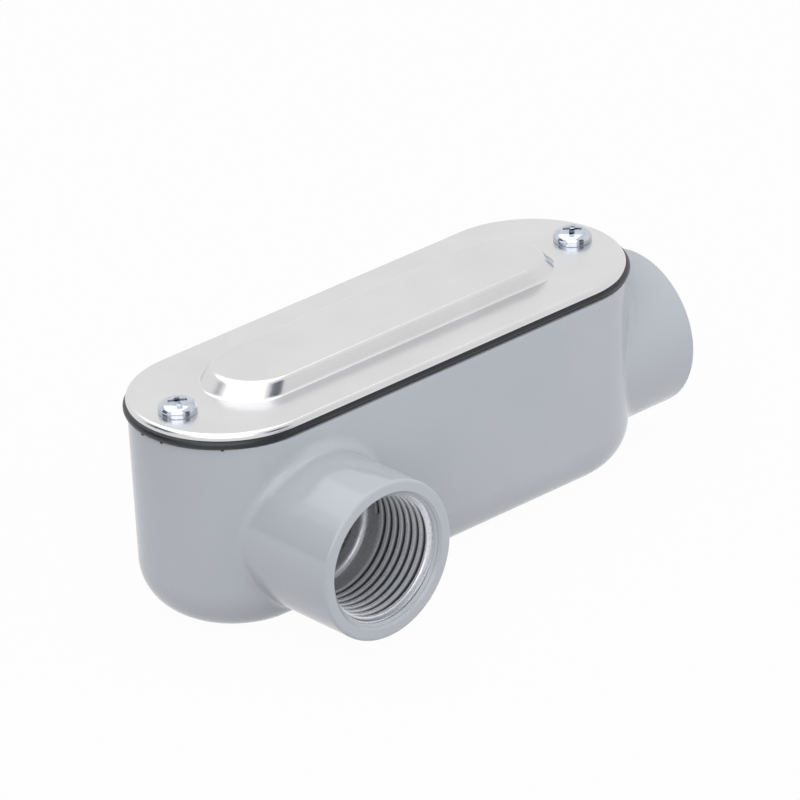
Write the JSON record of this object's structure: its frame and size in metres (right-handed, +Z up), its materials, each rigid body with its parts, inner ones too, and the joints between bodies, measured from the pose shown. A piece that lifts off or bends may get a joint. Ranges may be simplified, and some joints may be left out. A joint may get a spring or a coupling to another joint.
{
  "type": "conduit body",
  "caption": "Long rounded metal conduit body with an open threaded hub on one end and one on a long side, under a screwed-on stamped cover and rubber gasket.",
  "frame": {"origin": "centre of the flat part of the underside", "axes": "+Z up from the underside to the cover, +X out of the end hub along the body's length, -Y out of the side hub"},
  "size_m": [0.1598, 0.0724, 0.0593],
  "materials": {
    "housing_paint": "semi-gloss light grey powder coat on die-cast aluminium",
    "gasket_rubber": "matt dark grey",
    "cover_metal": "bright, smooth as rolled",
    "screw_zinc": "bright zinc plate"
  },
  "bodies": {
    "root": {"housing": "housing_paint", "gasket": "gasket_rubber", "cover": "cover_metal", "screw_side_hub_end": "screw_zinc", "screw_end_hub_end": "screw_zinc"}
  },
  "joints": []
}
